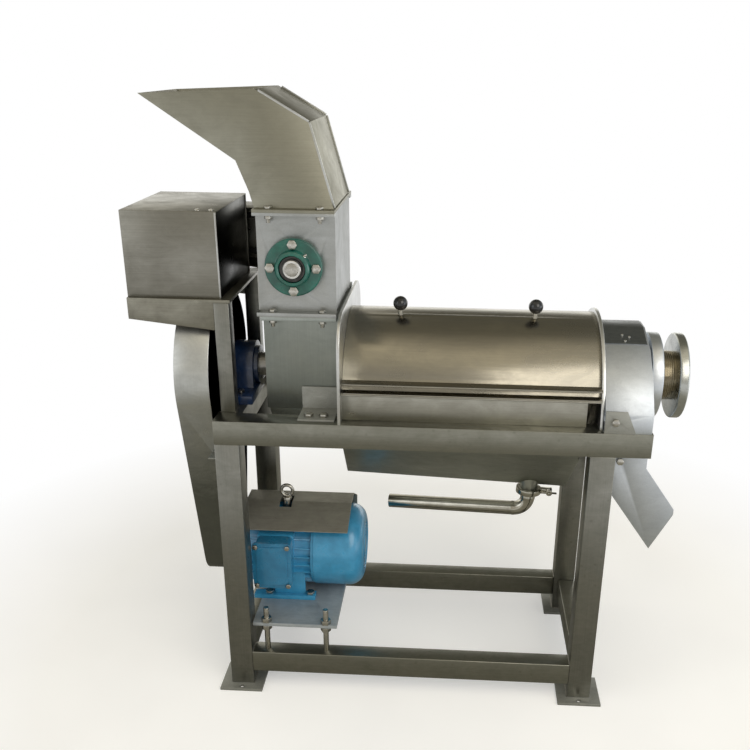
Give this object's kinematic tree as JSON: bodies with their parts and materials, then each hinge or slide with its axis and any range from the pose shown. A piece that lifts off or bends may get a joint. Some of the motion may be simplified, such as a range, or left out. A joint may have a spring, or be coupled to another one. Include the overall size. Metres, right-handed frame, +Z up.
{
  "type": "screw press juicer",
  "caption": "Stand-mounted screw press juicer with a crusher and gooseneck hopper, arched barrel cover, belt drives, juice trough and pomace chute.",
  "frame": {"origin": "on the floor, under the middle of the machine's outer box", "axes": "+X along the press from the drive end to the pomace outlet, +Y to the rear, +Z up"},
  "size_m": [1.119, 0.444, 1.256],
  "materials": {
    "frame_steel": "satin",
    "sheet_steel": "satin",
    "mirror_steel": "polished",
    "cover_steel": "semi-bright",
    "pale_steel": "satin",
    "turned_steel": "turned",
    "motor_paint": "gloss enamel",
    "small_motor_paint": "enamel",
    "bearing_green": "enamel",
    "bearing_steel": "ground",
    "pulley_iron": "machined",
    "belt_rubber": "matte",
    "seal_rubber": "matte",
    "knob_plastic": "gloss",
    "fan_plastic": "moulded",
    "zinc_fasteners": "bright"
  },
  "bodies": {
    "motor_base": {"base_plate": "frame_steel", "motor_body": "motor_paint", "terminal_box": "motor_paint", "terminal_lid": "motor_paint", "fan_cowl": "motor_paint", "lifting_nuts": "zinc_fasteners", "motor_cover": "sheet_steel", "eyebolt": "zinc_fasteners", "motor_screws": "zinc_fasteners"},
    "motor_rotor": {"motor_fan": "fan_plastic", "motor_shaft": "bearing_steel", "motor_pulley": "pulley_iron"},
    "main_screw": {"screw_shaft": "turned_steel", "screw_flight": "turned_steel", "main_pulley": "pulley_iron"},
    "crusher_rotor": {"crusher_shaft": "turned_steel", "crusher_knives": "turned_steel", "crusher_pulley": "pulley_iron", "bearing_inserts": "bearing_steel"},
    "crusher_motor_rotor": {"crusher_motor_shaft": "bearing_steel", "crusher_motor_pulley": "pulley_iron"},
    "cover": {"barrel_cover": "cover_steel", "cover_knobs": "knob_plastic"},
    "cone": {"pressure_cone": "turned_steel"},
    "hand_wheel": {"threaded_sleeve": "turned_steel", "hand_disc": "turned_steel"},
    "pipe": {"juice_pipe": "turned_steel"},
    "wing_nut": {"clamp_wing_nut": "turned_steel"},
    "stand": {"legs": "frame_steel", "foot_plates": "frame_steel", "upper_rails": "frame_steel", "lower_rails": "frame_steel", "crusher_posts": "frame_steel", "hood_shelf": "frame_steel", "rail_feet": "frame_steel", "hood": "sheet_steel", "crusher_box": "sheet_steel", "hopper": "sheet_steel", "inlet_chamber": "sheet_steel", "barrel_end_plate": "sheet_steel", "side_panels": "sheet_steel", "belt_guard": "sheet_steel", "crusher_belt_guard": "sheet_steel", "juice_trough": "sheet_steel", "hood_end_plate": "mirror_steel", "ring_flange": "pale_steel", "outlet_chamber": "pale_steel", "pomace_chute": "pale_steel", "gland_housing": "turned_steel", "screen_basket": "turned_steel", "clamp_ring": "turned_steel", "crusher_motor": "small_motor_paint", "pillow_bearing": "small_motor_paint", "flange_bearings": "bearing_green", "crusher_belt": "belt_rubber", "drive_belts": "belt_rubber", "shaft_seal": "seal_rubber", "hex_bolts": "zinc_fasteners", "hex_nuts": "zinc_fasteners", "lifting_rods": "zinc_fasteners"}
  },
  "joints": [
    {"name": "main_spin", "type": "hinge", "parent": "stand", "child": "main_screw", "pos_m": [-0.3645, 0, 0.697], "axis": [1, 0, 0], "continuous": true},
    {"name": "motor_lift", "type": "slide", "parent": "stand", "child": "motor_base", "axis": [0, 0, 1], "range_m": [0, 0.012]},
    {"name": "motor_spin", "type": "hinge", "parent": "motor_base", "child": "motor_rotor", "pos_m": [-0.3645, 0, 0.26], "axis": [1, 0, 0], "continuous": true},
    {"name": "crusher_spin", "type": "hinge", "parent": "stand", "child": "crusher_rotor", "pos_m": [-0.2335, 0, 0.935], "axis": [0, 1, 0], "continuous": true},
    {"name": "crusher_motor_spin", "type": "hinge", "parent": "stand", "child": "crusher_motor_rotor", "pos_m": [-0.4665, 0, 0.953], "axis": [0, 1, 0], "continuous": true},
    {"name": "cover_lift", "type": "slide", "parent": "stand", "child": "cover", "axis": [0, 0, 1], "range_m": [0, 0.2]},
    {"name": "cone_slide", "type": "slide", "parent": "stand", "child": "cone", "axis": [-1, 0, 0], "range_m": [0, 0.024]},
    {"name": "disc_turn", "type": "hinge", "parent": "cone", "child": "hand_wheel", "pos_m": [0.5055, 0, 0.697], "axis": [1, 0, 0], "range_deg": [0, 1440]},
    {"name": "pipe_swivel", "type": "hinge", "parent": "stand", "child": "pipe", "pos_m": [0.25887, 0, 0.41667], "axis": [0.0401, 0, 0.9992], "range_deg": [-70, 90]},
    {"name": "wing_nut_turn", "type": "hinge", "parent": "stand", "child": "wing_nut", "pos_m": [0.30383, -0.01, 0.41487], "axis": [0, 1, 0], "range_deg": [0, 1080]}
  ],
  "couplings": [
    {"joint": "motor_spin", "follows": "main_spin", "ratio": 3.1522},
    {"joint": "crusher_motor_spin", "follows": "crusher_spin", "ratio": 1.5789},
    {"joint": "cone_slide", "follows": "disc_turn", "m_per_rad": 0.00095483}
  ]
}
